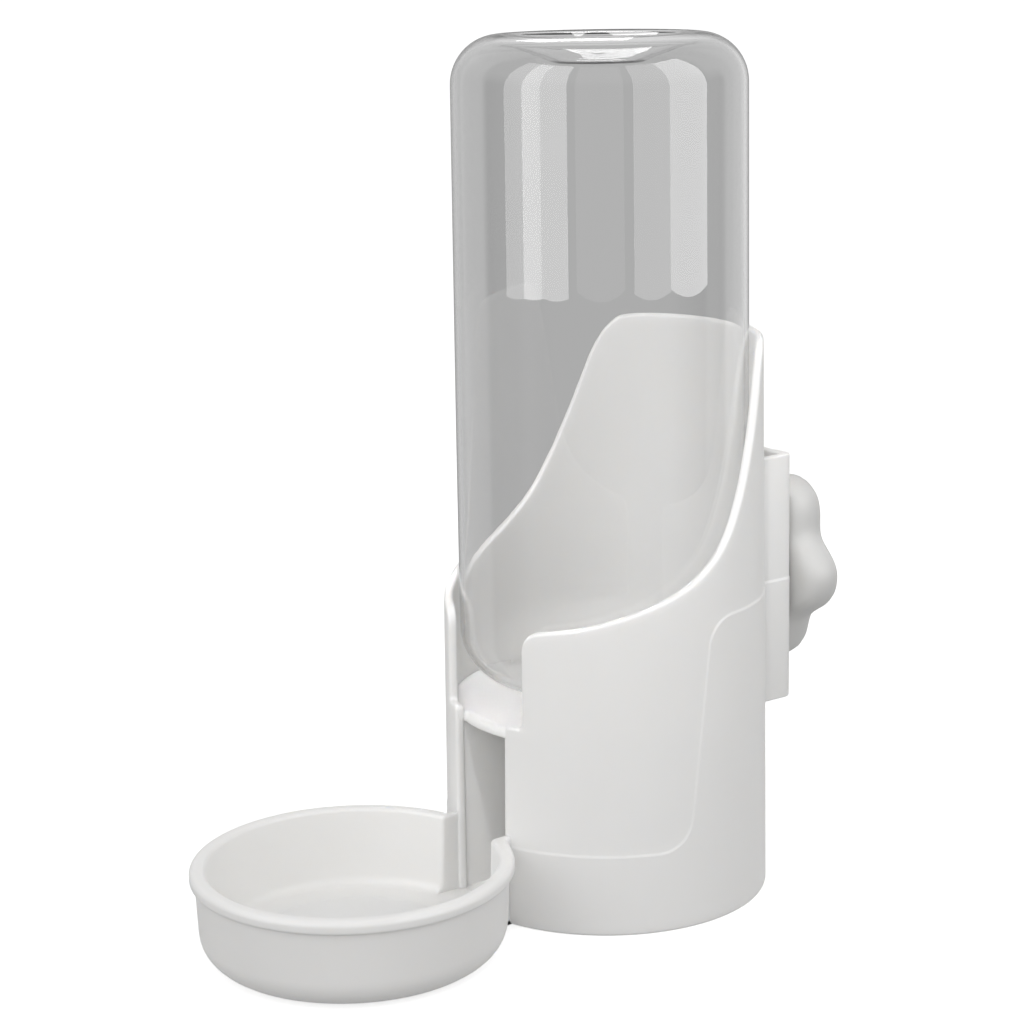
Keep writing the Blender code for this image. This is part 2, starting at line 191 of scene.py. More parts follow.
def smooth_curve(points, spacing):
    """Points on a Catmull-Rom curve through (x, y) points that run from left to right."""
    dense = []
    for i in range(len(points) - 1):
        p0 = Vector(points[max(i - 1, 0)])
        p1 = Vector(points[i])
        p2 = Vector(points[i + 1])
        p3 = Vector(points[min(i + 2, len(points) - 1)])
        count = max(2, math.ceil((p2 - p1).length / spacing))
        for k in range(count):
            t = k / count
            dense.append(0.5 * (2 * p1 + (p2 - p0) * t + (2 * p0 - 5 * p1 + 4 * p2 - p3) * t * t
                                + (3 * p1 - p0 - 3 * p2 + p3) * t ** 3))
    dense.append(Vector(points[-1]))
    return dense


# ---------------------------------------------------------------- meshes

def to_object(name, bm, material, sharp=180.0):
    """A bmesh in millimetres becomes an object in metres, smooth except at its sharp edges."""
    bmesh.ops.remove_doubles(bm, verts=bm.verts, dist=0.0005)
    bmesh.ops.recalc_face_normals(bm, faces=bm.faces)
    bmesh.ops.scale(bm, vec=Vector((MM, MM, MM)), verts=bm.verts)
    mesh = bpy.data.meshes.new(name)
    bm.to_mesh(mesh)
    bm.free()
    mesh.shade_smooth()
    if sharp < 180.0:
        mesh.set_sharp_from_angle(angle=math.radians(sharp))
    if material:
        mesh.materials.append(material)
    obj = bpy.data.objects.new(name, mesh)
    bpy.context.scene.collection.objects.link(obj)
    return obj


def place(obj, body, node=None):
    """Let a piece ride on its body and stand for a CAD node, which is hidden."""
    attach(obj, body)
    if node:
        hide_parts(node)
    return obj


def bake_modifiers(obj):
    """Replace an object's mesh by what its modifiers make of it."""
    bpy.context.view_layer.update()
    evaluated = obj.evaluated_get(bpy.context.evaluated_depsgraph_get())
    mesh = bpy.data.meshes.new_from_object(evaluated)
    obj.modifiers.clear()
    obj.data = mesh
    return obj


def combine(obj, other, operation):
    """Join another object to this one, or cut it away, and delete the other."""
    modifier = obj.modifiers.new(operation, "BOOLEAN")
    modifier.operation = operation
    modifier.solver = "EXACT"
    modifier.object = other
    bake_modifiers(obj)
    bpy.data.objects.remove(other, do_unlink=True)
    return obj


def soften(obj, width, segments=3, angle=35.0):
    """Round every edge that is sharper than an angle."""
    modifier = obj.modifiers.new("soften", "BEVEL")
    modifier.width = width * MM
    modifier.segments = segments
    modifier.limit_method = "ANGLE"
    modifier.angle_limit = math.radians(angle)
    modifier.harden_normals = False
    return bake_modifiers(obj)


def bridge(bm, one, two, closed=True):
    """Four-sided faces between two rows of vertices, which close into rings unless told not to."""
    count = len(one)
    for k in range(count if closed else count - 1):
        n = (k + 1) % count
        bm.faces.new((one[k], one[n], two[n], two[k]))


def lathe(outline, segments, closed=True, centre=(0.0, 0.0)):
    """Turn an outline of (radius, z) points round a vertical axis."""
    bm = bmesh.new()
    rings = []
    for radius, z in outline:
        if radius < 1e-6:
            rings.append([bm.verts.new((centre[0], centre[1], z))])
            continue
        ring = []
        for k in range(segments):
            a = 2 * math.pi * k / segments
            x = centre[0] + radius * math.sin(a)
            ring.append(bm.verts.new((x, centre[1] - radius * math.cos(a), z)))
        rings.append(ring)
    pairs = list(zip(rings, rings[1:]))
    if closed:
        pairs.append((rings[-1], rings[0]))
    for one, two in pairs:
        for k in range(segments):
            n = (k + 1) % segments
            corners = [one[k % len(one)], one[n % len(one)], two[n % len(two)], two[k % len(two)]]
            corners = list(dict.fromkeys(corners))
            if len(corners) > 2:
                bm.faces.new(corners)
    return bm


def extrude_plan(outline, z0, z1):
    """A prism: an outline of (x, y) points between two heights."""
    bm = bmesh.new()
    low = [bm.verts.new((x, y, z0)) for x, y in outline]
    high = [bm.verts.new((x, y, z1)) for x, y in outline]
    bm.faces.new(low)
    bm.faces.new(high)
    bridge(bm, low, high)
    return bm


def box_mesh(x0, x1, y0, y1, z0, z1):
    """A plain block between two corners."""
    return extrude_plan([(x0, y0), (x1, y0), (x1, y1), (x0, y1)], z0, z1)


def along_y(bm, y, z):
    """Turn a shape that stands on z = 0 so that it lies along +Y, starting at y, at height z."""
    bm.transform(Matrix.Translation((0, y, z)) @ Matrix.Rotation(math.radians(-90), 4, "X"))
    return bm


# ---------------------------------------------------------------- sleeve wall

HALF_ROUND = math.pi * SLEEVE_R
SHEET_STEP = 1.25

# The wall's top edge seen from the side, (y, z), from the front lip up to the tall back
TOP_EDGE = [
    (-33.5, 70.0), (-26.0, 72.1), (-13.6, 76.3), (-3.0, 81.2), (5.3, 88.0), (11.7, 98.0),
    (17.3, 110.5), (21.8, 122.5), (25.5, 128.8), (30.0, 131.2), (38.2, BACK_TOP_Z),
]


def unrolled(y):
    """Distance round the wall, from the front, of a place on its right side."""
    return SLEEVE_R * math.acos(max(-1.0, min(1.0, -y / SLEEVE_R)))


def around(x):
    """Distance round the wall, from the front, at which its front half has a given x."""
    return SLEEVE_R * math.asin(x / SLEEVE_R)


def wall_top():
    """Right half of the wall's top outline: sill, doorway, ledge, slot, lip and cut edge."""
    sill = 2.0
    door = around(DOOR_HALF)
    slot = around(SLOT_HALF)
    lip = rounded([
        (0.0, sill, 0.0),
        (door - DOOR_TAPER, sill, 0.3),
        (door, LEDGE_Z, 1.3),
        (slot, LEDGE_Z, 1.0),
        (slot, 69.3, 5.0),
        (unrolled(-30.0), 71.0, 0.0),
    ], step=11.0)
    edge = smooth_curve([(unrolled(y), z) for y, z in TOP_EDGE], 1.2)
    start = lip[-1].x
    joined = lip[:-1] + [p for p in edge if p.x > start - 0.2]
    return resample(joined, SHEET_STEP)


def mirrored(half):
    """A whole outline from its right half, which starts on the middle line."""
    left = [Vector((-p.x, p.y)) for p in reversed(half[1:])]
    return left + half


def seam_line():
    """The mould's parting line: low at the front, up the side, and level round the back."""
    half = rounded([
        (0.0, SEAM_LOW_Z, 0.0),
        (54.2, SEAM_LOW_Z, 8.1),
        (60.85, STUD_Z, 7.5),
        (HALF_ROUND, STUD_Z, 0.0),
    ], step=6.0)
    return resample(half, SHEET_STEP)


SEAM = seam_line()
SEAM_HALF_WIDTH = 0.12
BACK_CREASE = unrolled(21.8)


def smoothstep(x):
    """A rise from 0 to 1 that starts and ends softly."""
    x = min(max(x, 0.0), 1.0)
    return x * x * (3 - 2 * x)


def wall_radius(s, z):
    """Outer radius of the wall at a place on the unrolled sheet."""
    s = abs(s)
    rise = height_at(SEAM, s + 0.2) - height_at(SEAM, s - 0.2)
    distance = (z - height_at(SEAM, s)) * 0.4 / math.hypot(0.4, rise)
    above = smoothstep(0.5 + distance / (2 * SEAM_HALF_WIDTH))
    crease = smoothstep((s - BACK_CREASE) / 1.6 + 0.5) * smoothstep((z - 71.0) / 5.0)
    flash = 0.04 * max(0.0, 1 - abs(distance) / 0.35)
    return SLEEVE_R - DRAFT * z - SEAM_STEP * above + flash - 0.12 * crease


def wall_point(s, z, depth):
    """A point of the wrapped sheet, at a depth under its outer face."""
    a = s / SLEEVE_R
    r = wall_radius(s, z) - depth
    return (r * math.sin(a), -r * math.cos(a), z)


def inner_point(s, z, height_over_inner):
    """A point of the wrapped sheet, at a height over its plain inner face."""
    a = s / SLEEVE_R
    r = SLEEVE_R - DRAFT * z - WALL + height_over_inner
    return (r * math.sin(a), -r * math.cos(a), z)


def sheet_points(top, foot):
    """Points and fixed edges of the flat sheet: its border, the seam's bands and a grid."""
    points = []
    edges = []

    def add_line(line):
        first = len(points)
        points.extend(line)
        edges.extend((first + k, first + k + 1) for k in range(len(line) - 1))
        return list(range(first, first + len(line)))

    foot_ids = add_line(foot)
    top_ids = add_line(top)
    bands = [-0.5, -SEAM_HALF_WIDTH, SEAM_HALF_WIDTH, 0.5]
    start = around(DOOR_HALF) + 1.6
    seam = [Vector((start, SEAM_LOW_Z))] + [p for p in SEAM if p.x > start + 0.3]
    lines = []
    for band in bands:
        right = offset(seam, -band)
        right[-1] = Vector((HALF_ROUND, STUD_Z + band))
        lines.append(right)
        lines.append([Vector((-p.x, p.y)) for p in right])
    count = round((top[-1].y - foot[-1].y) / SHEET_STEP)
    side = [foot[-1].y + (top[-1].y - foot[-1].y) * k / count for k in range(1, count)]
    side = [z for z in side if abs(z - STUD_Z) > 0.9] + [STUD_Z + band for band in bands]
    side.sort()
    columns = []
    for ends, sign in (((foot_ids[-1], top_ids[-1]), 1), ((foot_ids[0], top_ids[0]), -1)):
        column = list(range(len(points), len(points) + len(side)))
        points.extend(Vector((sign * HALF_ROUND, z)) for z in side)
        chain = [ends[0]] + column + [ends[1]]
        edges.extend(zip(chain, chain[1:]))
        columns.append(column)
    right_side, left_side = columns
    for line in lines:
        at_side = [i for i in right_side + left_side
                   if (points[i] - line[-1]).length < 1e-6]
        ids = add_line(line[:-1])
        edges.append((ids[-1], at_side[0]))
    border = foot_ids + right_side + list(reversed(top_ids)) + list(reversed(left_side))
    return points, edges, border, foot_ids, top_ids


def fill_sheet(top, foot):
    """Triangles of the flat sheet, and where its foot and top outlines are among its points."""
    points, edges, border, foot_ids, top_ids = sheet_points(top, foot)
    cell = 0.62
    taken = set()
    for a, b in edges:
        count = max(1, math.ceil((points[b] - points[a]).length / (cell * 0.5)))
        for k in range(count + 1):
            p = points[a].lerp(points[b], k / count)
            taken.add((round(p.x / cell), round(p.y / cell)))
    columns = round(2 * HALF_ROUND / SHEET_STEP)
    rows = round(BACK_TOP_Z / SHEET_STEP)
    for i in range(1, columns):
        for j in range(1, rows):
            s = -HALF_ROUND + 2 * HALF_ROUND * i / columns
            z = BACK_TOP_Z * (j + 0.5 * (i % 2)) / rows
            key = (round(s / cell), round(z / cell))
            near = {(key[0] + dx, key[1] + dz) for dx in (-1, 0, 1) for dz in (-1, 0, 1)}
            if not near & taken:
                points.append(Vector((s, z)))
    made = delaunay_2d_cdt(points, edges, [border], 1, 1e-5)
    coords, faces, origins = made[0], made[2], made[3]
    where = {}
    for new, old_ones in enumerate(origins):
        for old in old_ones:
            where[old] = new
    return coords, faces, [where[i] for i in foot_ids], [where[i] for i in top_ids]


def rim_profile(edge):
    """(distance in from the outline, depth from the outer face) over a rounded wall edge."""
    profile = []
    steps = 5
    for k in range(1, steps + 1):
        a = math.pi / 2 * k / steps
        profile.append((edge * (1 - math.sin(a)), edge * (1 - math.cos(a))))
    for k in range(steps):
        a = math.pi / 2 * k / steps
        profile.append((edge * (1 - math.cos(a)), WALL - edge * (1 - math.sin(a))))
    return profile


def make_wall(material):
    """The sleeve's wall as one closed sheet with rounded top and foot edges."""
    top = mirrored(wall_top())
    foot_count = round(2 * HALF_ROUND / SHEET_STEP)
    foot = [Vector((-HALF_ROUND + 2 * HALF_ROUND * k / foot_count, 0.0))
            for k in range(foot_count + 1)]
    coords, faces, foot_ids, top_ids = fill_sheet(offset(top, WALL_EDGE), offset(foot, -FOOT_EDGE))
    bm = bmesh.new()
    outer = [bm.verts.new(wall_point(p.x, p.y, 0.0)) for p in coords]
    inner = [bm.verts.new(inner_point(p.x, p.y, 0.0)) for p in coords]
    for face in faces:
        bm.faces.new([outer[i] for i in face])
        bm.faces.new([inner[i] for i in reversed(face)])
    for line, ids, edge, side in ((top, top_ids, WALL_EDGE, 1), (foot, foot_ids, FOOT_EDGE, -1)):
        rings = [[outer[i] for i in ids]]
        for inset, depth in rim_profile(edge):
            ring = []
            for p in offset(line, side * inset):
                ring.append(bm.verts.new(edge_point(p, depth)))
            rings.append(ring)
        rings.append([inner[i] for i in ids])
        for one, two in zip(rings, rings[1:]):
            bridge(bm, one, two, closed=False)
    return to_object("sleeve_wall", bm, material)


def edge_point(p, depth):
    """A point of the rounded edge: measured from the outer face in its outer half."""
    if depth < WALL / 2:
        return wall_point(p.x, p.y, depth)
    return inner_point(p.x, p.y, WALL - depth)


# ---------------------------------------------------------------- inside of the base

def keyhole(radius, half, front_y, steps=40):
    """Plan outline of the round well with its straight channel towards the front."""
    start = math.degrees(math.asin(half / radius))
    points = [(-half, front_y), (half, front_y)]
    for k in range(steps + 1):
        a = math.radians(start + (360 - 2 * start) * k / steps)
        points.append((radius * math.sin(a), -radius * math.cos(a)))
    return points


def make_well(material):
    """Well, channel walls and floor under the shelf, with the post that opens the valve."""
    roof = SHELF_Z - SHELF_T / 2
    front = -SLEEVE_R + 2.2
    outer = keyhole(WELL_R + WELL_WALL, DOOR_HALF + WELL_WALL, front)
    well = to_object("well", extrude_plan(outer, 0.02, roof), None, 40)
    inner = keyhole(WELL_R, DOOR_HALF, front - 2.0)
    hollow = to_object("hollow", extrude_plan(inner, FLOOR_Z + 0.01, roof + 3), None)
    combine(well, hollow, "DIFFERENCE")
    for turn in (0, 90):
        blade = box_mesh(-4.0, 4.0, -0.8, 0.8, FLOOR_Z - 0.6, POST_TOP_Z)
        bmesh.ops.rotate(blade, verts=blade.verts, matrix=Matrix.Rotation(math.radians(turn), 3, "Z"))
        combine(well, to_object("post", blade, None), "UNION")
    soften(well, 0.25, 2, 50)
    well.data.materials.append(material)
    return well


def make_shelf(material):
    """The shelf, which ends in a soft rounded lip in the doorway."""
    low = SHELF_Z - SHELF_T
    inner_r = SLEEVE_R - WALL
    lip = rounded([
        (SHELF_HOLE_R, low + 1.0, 0.0), (SHELF_HOLE_R, SHELF_Z, 0.5),
        (inner_r - 0.25, SHELF_Z, 1.9), (inner_r - 0.25, low, 0.5),
        (SHELF_HOLE_R, low, 0.3), (SHELF_HOLE_R, low + 1.0, 0.0),
    ])[:-1]
    bm = lathe([tuple(p) for p in lip], 180)
    half_door = math.asin(DOOR_HALF / inner_r)
    for v in bm.verts:
        angle = abs(math.atan2(v.co.x, -v.co.y))
        radius = math.hypot(v.co.x, v.co.y)
        if angle > half_door and radius > inner_r - 2.0:
            scale = (radius + 1.1) / radius
            v.co.x *= scale
            v.co.y *= scale
    return to_object("shelf", bm, material, 50)


def open_keyhole(radius, half, corner):
    """Plan of a round wall that turns into a straight channel towards the sleeve."""
    reach = math.sqrt((radius + corner) ** 2 - (half + corner) ** 2)
    turn = math.atan2(half + corner, reach)
    side = [(half, -SLEEVE_R + 2.6 - BOWL_Y)]
    side.append((half, (side[0][1] + reach) / 2))
    for k in range(7):
        a = math.pi + (math.pi / 2 - turn) * k / 6
        side.append((half + corner + corner * math.cos(a), reach + corner * math.sin(a)))
    count = 72
    for k in range(1, count + 1):
        a = turn + (math.pi - turn) * k / count
        side.append((radius * math.sin(a), radius * math.cos(a)))
    other = [(-x, y) for x, y in reversed(side[:-1])]
    return [(x, BOWL_Y + y) for x, y in side + other]


def bowl_outline():
    """The bowl's wall from its underside, over the rim, to the edge of its floor."""
    side = 34.4
    return rounded([
        (21.0, 0.9, 0.0), (22.0, 0.9, 0.4), (22.8, 0.0, 0.5), (side - 0.25, 0.0, 7.2),
        (side + 0.55, RIM_Z - RIM_T, 0.45), (RIM_R - 0.05, RIM_Z - RIM_T + 0.25, 0.7),
        (RIM_R, RIM_Z, 1.25), (RIM_R - RIM_WIDTH, RIM_Z, 0.95), (side - 2.6, FLOOR_Z, 2.6),
        (26.0, FLOOR_Z, 0.0),
    ], step=10.0)


def make_bowl(material):
    """The round bowl and the channel that joins it to the sleeve's doorway."""
    bm = bmesh.new()
    rings = []
    past_rim = False
    for radius, z in bowl_outline():
        inset = RIM_R - radius
        on_rim = z >= RIM_Z - 1.3
        past_rim = past_rim or on_rim
        if on_rim:
            half = DOOR_HALF + CHEEK * (1 - inset / RIM_WIDTH)
        elif past_rim and inset > RIM_WIDTH - 0.6:
            half = DOOR_HALF
        else:
            half = max(DOOR_HALF + 1.2, DOOR_HALF + CHEEK - 0.8 * inset)
        rings.append([bm.verts.new((x, y, z)) for x, y in open_keyhole(radius, half, 1.0)])
    for one, two in zip(rings, rings[1:]):
        bridge(bm, one, two, closed=False)
    bm.faces.new(rings[0])
    bm.faces.new(rings[-1])
    bm.faces.new([ring[0] for ring in rings] + [ring[-1] for ring in reversed(rings)])
    return to_object("bowl", bm, material, 60)


def make_bowl_step(material):
    """The slightly raised middle of the bowl's floor."""
    outline = rounded([
        (0.0, FLOOR_Z - 0.5, 0.0), (24.3, FLOOR_Z - 0.5, 0.0), (24.0, FLOOR_Z + 0.35, 0.3),
        (23.2, FLOOR_Z + 0.35, 0.3), (22.6, FLOOR_Z + 0.2, 0.5), (0.0, FLOOR_Z + 0.15, 0.0),
    ], step=15.0)
    return to_object("bowl_step", lathe(outline, 144, False, (0.0, BOWL_Y)), material, 60)


# ---------------------------------------------------------------- back box, stud and clamp

def make_box(material):
    """The box at the back: rounded corners, thin walls, and a step at the mould's seam."""
    corner = 2.6
    root = 30.6
    outer = rounded([(BOX_HALF, root, 0.0), (BOX_HALF, BOX_Y, corner), (-BOX_HALF, BOX_Y, corner),
                     (-BOX_HALF, root, 0.0)], step=12.0)
    inner_half = BOX_HALF - BOX_WALL
    inner_y = BOX_Y - BOX_WALL - 0.7
    inner = rounded([(-inner_half, root, 0.0), (-inner_half, inner_y, 0.8),
                     (inner_half, inner_y, 0.8), (inner_half, root, 0.0)], step=20.0)
    levels = [(BOX_Z[0], 0.0), (STUD_Z - 0.5, 0.0), (STUD_Z - 0.1, 0.0),
              (STUD_Z + 0.1, 0.14), (STUD_Z + 0.5, 0.14), (BOX_Z[1], 0.14)]
    bm = bmesh.new()
    rings = []
    for z, inset in levels:
        ring = []
        for p in outer:
            x = p.x - math.copysign(inset, p.x) if abs(p.x) > BOX_HALF - corner else p.x
            ring.append(bm.verts.new((x, p.y - (0.0 if p.y < BOX_Y - corner else inset * 0.3), z)))
        ring += [bm.verts.new((p.x, p.y, z)) for p in inner]
        rings.append(ring)
    bm.faces.new(rings[0])
    bm.faces.new(rings[-1])
    for one, two in zip(rings, rings[1:]):
        bridge(bm, one, two)
    box = to_object("back_box", bm, None)
    soften(box, 0.45, 3, 60)
    box.data.materials.append(material)
    return box


def thread_height(phase):
    """Height of a rounded trapezoidal thread, from 0 at its root to 1 at its crest."""
    phase = phase % 1.0
    rise = smoothstep(phase / 0.28)
    fall = smoothstep((phase - 0.5) / 0.28)
    return rise - fall


def threaded_rod(core, depth, pitch, length, segments, rows_per_turn):
    """A rod with a right-hand thread, standing on z = 0, with a chamfered end."""
    rows = round(length / pitch * rows_per_turn)
    bm = bmesh.new()
    rings = []
    for j in range(rows + 1):
        z = length * j / rows
        fade = min(1.0, (length - z) / pitch, z / pitch)
        chamfer = max(0.0, 1.2 - (length - z)) * 0.8
        ring = []
        for k in range(segments):
            turn = k / segments
            radius = core + depth * max(fade, 0.0) * thread_height(z / pitch - turn) - chamfer
            a = 2 * math.pi * turn
            ring.append(bm.verts.new((radius * math.cos(a), radius * math.sin(a), z)))
        rings.append(ring)
    for one, two in zip(rings, rings[1:]):
        bridge(bm, one, two)
    bm.faces.new(rings[0])
    bm.faces.new(rings[-1])
    return bm


def make_stud(material):
    """The threaded stud that points out of the back box."""
    root_y = SLEEVE_R - 1.6
    rod = threaded_rod(STUD_R - 1.15, 1.15, STUD_PITCH, STUD_TIP_Y - root_y, 72, 28)
    return to_object("stud", along_y(rod, root_y, STUD_Z), material, 50)


def knob_section():
    """(share of the way from hole to lobed edge, height over the clamped face, lobe depth)."""
    t = KNOB_HIGH.y - KNOB_LOW.y - 1.6
    return [
        (0.0, 0.5, 0.0), (0.02, 0.0, 0.0), (0.3, 0.0, 0.3), (0.62, 0.0, 0.8), (0.8, 0.25, 1.0),
        (0.9, 0.9, 1.0), (0.96, 2.1, 1.0), (0.99, 3.8, 1.0), (1.0, 5.6, 1.0), (0.993, 7.4, 1.0),
        (0.965, 9.2, 1.0), (0.91, 10.7, 1.0), (0.83, 11.7, 0.95), (0.73, 12.25, 0.85),
        (0.62, t, 0.7), (0.5, t - 0.35, 0.45), (0.4, t - 0.7, 0.25), (0.325, t - 0.8, 0.1),
        (0.3, t - 0.6, 0.0), (0.275, t + 0.9, 0.0), (0.25, t + 1.35, 0.0), (0.2, t + 1.6, 0.0),
        (0.05, t + 1.6, 0.0), (0.0, t + 1.1, 0.0),
    ]


def make_knob(material):
    """The six-lobed knob: domed lobes, a dished face and a raised hub round the hole."""
    bore = STUD_R + 0.35
    segments = 180
    bm = bmesh.new()
    rings = []
    for share, y, lobe_share in knob_section():
        ring = []
        for k in range(segments):
            a = 2 * math.pi * k / segments
            wave = 0.5 + 0.5 * math.cos(KNOB_LOBES * (a + math.radians(8)))
            valley = (1 - wave) ** 1.3
            edge = KNOB_R - KNOB_LOBE * valley * lobe_share
            radius = bore + (edge - bore) * share
            pinch = 1.0 - 0.12 * valley * lobe_share
            middle = 5.8
            ring.append(bm.verts.new((radius * math.cos(a), -radius * math.sin(a),
                                      middle + (y - middle) * pinch if y > middle else y)))
        rings.append(ring)
    for one, two in zip(rings, rings[1:] + rings[:1]):
        bridge(bm, one, two)
    return to_object("clamp_knob", along_y(bm, KNOB_LOW.y, STUD_Z), material, 60)


def make_washer(material):
    """The soft washer between the knob and the cage's wires."""
    t = WASHER_HIGH.y - WASHER_LOW.y
    outline = rounded([(8.2, 0.3, 0.0), (8.2, 0.0, 0.25), (16.0, 0.0, 0.5), (16.0, t, 0.5),
                       (8.2, t, 0.25), (8.2, 0.3, 0.0)])[:-1]
    bm = lathe([tuple(p) for p in outline], 96)
    return to_object("soft_washer", along_y(bm, WASHER_LOW.y, STUD_Z), material, 60)


# ---------------------------------------------------------------- bottle, cap and valve

def punt(top):
    """The bottle's dimpled bottom, from its middle out to the ring on which it could stand."""
    return [(0.0, top - 5.4, 0.0), (9.6, top - 5.2, 5.0), (19.8, top - 0.6, 2.4),
            (22.0, top - 0.05, 2.5)]


def bottle_outline():
    """Outer and inner faces of the bottle's wall, from the punt down to the mouth and back."""
    r = BOTTLE_R
    top = BOTTLE_TOP
    w = BOTTLE_WALL
    faces = rounded([
        *punt(top), (r - BOTTLE_TAPER, top, 11.2), (r, TAPER_Z, 0.0), (r, 52.4, 12.6),
        (COLLAR_R + 0.3, 49.6, 0.8), (COLLAR_R - 1.2, 48.9, 0.3), (COLLAR_R - 1.2, 48.1, 0.2),
        (COLLAR_R, 48.0, 0.4), (COLLAR_R, SEAT_Z, 0.3), (NECK_R, SEAT_Z, 0.3),
        (NECK_R, MOUTH_Z, 0.5), (NECK_BORE_R, MOUTH_Z, 0.5), (NECK_BORE_R, 48.0, 3.0),
        (r - w, 53.6, 11.4), (r - w, TAPER_Z, 0.0), (r - w - BOTTLE_TAPER, top - w, 10.0),
        *reversed(punt(top - w)),
    ], step=6.0)
    return resample(faces, 6.0)


def make_bottle(material):
    """The clear bottle with the fine ridge of its two mould halves."""
    bm = lathe([tuple(p) for p in bottle_outline()], 384, False)
    for v in bm.verts:
        radius = math.hypot(v.co.x, v.co.y)
        if v.co.z < BOTTLE_TOP - 15.0 or radius < 22.0:
            continue
        turn = math.degrees(math.atan2(v.co.x, -v.co.y)) - RIDGE_ANGLE
        away = abs((turn + 90) % 180 - 90)
        scale = 1 + 0.09 * max(0.0, 1 - away / 0.95) / radius
        v.co.x *= scale
        v.co.y *= scale
    return to_object("clear_bottle", bm, material, 180)


def make_neck_thread(material):
    """The thread round the bottle's neck, hidden in the cap until it is unscrewed."""
    turns = 2.2
    steps = round(72 * turns)
    bm = bmesh.new()
    rings = []
    section = [(-0.15, -1.0), (0.45, -0.45), (0.45, 0.45), (-0.15, 1.0)]
    for k in range(steps + 1):
        share = k / steps
        fade = min(1.0, share * 12, (1 - share) * 12)
        a = 2 * math.pi * turns * share
        z = 30.5 + NECK_PITCH * turns * share
        ring = []
        for out, up in section:
            r = NECK_R + (out if out < 0 else out * fade)
            ring.append(bm.verts.new((r * math.cos(a), r * math.sin(a), z + up * max(fade, 0.2))))
        rings.append(ring)
    for one, two in zip(rings, rings[1:]):
        bridge(bm, one, two)
    bm.faces.new(rings[0])
    bm.faces.new(rings[-1])
    return to_object("neck_thread", bm, material, 60)


def make_cap(material):
    """The cap with its gripping ribs, end wall, valve seat and spout."""
    low, high = CAP_LOW.z, CAP_HIGH.z
    outer = CAP_HIGH.x
    seat = 23.95  # the valve's seal lands a hair above it
    inner = NECK_R + 0.7
    outline = rounded([
        (inner, 40.0, 0.0), (inner, high, 0.25), (outer - 0.3, high, 0.3),
        (outer - 0.3, high - 2.2, 0.2), (outer - 0.9, high - 2.4, 0.2),
        (outer - 0.9, seat - 2.0, 1.0), (8.2, seat - 2.0, 0.5), (7.8, low, 0.4), (6.4, low, 0.3),
        (6.6, seat - 2.0, 0.3), (5.0, seat - 1.3, 0.2), (5.0, seat, 0.3), (inner, seat, 0.4),
        (inner, 40.0, 0.0),
    ], step=18.0)[:-1]
    outline = resample(outline, 4.0)
    ribs = 60
    bm = lathe([tuple(p) for p in outline], ribs * 6)
    for v in bm.verts:
        radius = math.hypot(v.co.x, v.co.y)
        if radius > outer - 1.6 and seat - 1.2 < v.co.z < high - 2.6:
            wave = max(0.0, math.cos(ribs * math.atan2(v.co.y, v.co.x)))
            scale = 1 + 0.55 * wave / radius
            v.co.x *= scale
            v.co.y *= scale
    return to_object("screw_cap", bm, material, 60)


def make_spring(material):
    """The valve's spring, between the stem's disc and the top of the basket."""
    low, high = (corner.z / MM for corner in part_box("valve_spring"))
    wire = 0.28
    turns = 5
    steps = 40 * turns
    curve = bpy.data.curves.new("closing_spring", "CURVE")
    curve.dimensions = "3D"
    curve.bevel_depth = wire * MM
    curve.bevel_resolution = 3
    curve.use_fill_caps = True
    path = curve.splines.new("POLY")
    path.points.add(steps)
    for k in range(steps + 1):
        a = 2 * math.pi * turns * k / steps
        z = low + wire + (high - low - 2 * wire) * k / steps
        path.points[k].co = (3.6 * math.cos(a) * MM, 3.6 * math.sin(a) * MM, z * MM, 1.0)
    curve.materials.append(material)
    obj = bpy.data.objects.new("closing_spring", curve)
    bpy.context.scene.collection.objects.link(obj)
    return obj


# ---------------------------------------------------------------- materials

def new_material(name):
    """A material with its nodes, its links and its shader."""
    mat = bpy.data.materials.new(name)
    mat.use_nodes = True
    return mat, mat.node_tree.nodes, mat.node_tree.links, mat.node_tree.nodes["Principled BSDF"]


def noise(nodes, links, vector, scale, detail=3.0, roughness=0.5):
    """The value of a noise pattern."""
    node = nodes.new("ShaderNodeTexNoise")
    node.inputs["Scale"].default_value = scale
    node.inputs["Detail"].default_value = detail
    node.inputs["Roughness"].default_value = roughness
    links.new(vector, node.inputs["Vector"])
    return node.outputs["Fac"]


def stretched(nodes, links, scale):
    """Object coordinates, stretched by a scale for each axis."""
    coord = nodes.new("ShaderNodeTexCoord")
    mapping = nodes.new("ShaderNodeMapping")
    mapping.inputs["Scale"].default_value = scale
    links.new(coord.outputs["Object"], mapping.inputs["Vector"])
    return mapping.outputs["Vector"]


def ranged(nodes, links, value, low, high, start=0.3, end=0.7):
    """A value that runs from start to end, mapped so that it runs from low to high."""
    node = nodes.new("ShaderNodeMapRange")
    node.inputs["From Min"].default_value = start
    node.inputs["From Max"].default_value = end
    node.inputs["To Min"].default_value = low
    node.inputs["To Max"].default_value = high
    links.new(value, node.inputs["Value"])
    return node.outputs["Result"]


def tinted(nodes, links, value, low, high):
    """A colour between two colours, by a value."""
    ramp = nodes.new("ShaderNodeValToRGB")
    ramp.color_ramp.elements[0].position = 0.3
    ramp.color_ramp.elements[0].color = (*low, 1.0)
    ramp.color_ramp.elements[1].position = 0.7
    ramp.color_ramp.elements[1].color = (*high, 1.0)
    links.new(value, ramp.inputs["Fac"])
    return ramp.outputs["Color"]


def bumped(nodes, links, height, shader, strength, distance):
    """Let a value stand as relief on a shader's surface."""
    bump = nodes.new("ShaderNodeBump")
    bump.inputs["Strength"].default_value = strength
    bump.inputs["Distance"].default_value = distance
    links.new(height, bump.inputs["Height"])
    links.new(bump.outputs["Normal"], shader.inputs["Normal"])


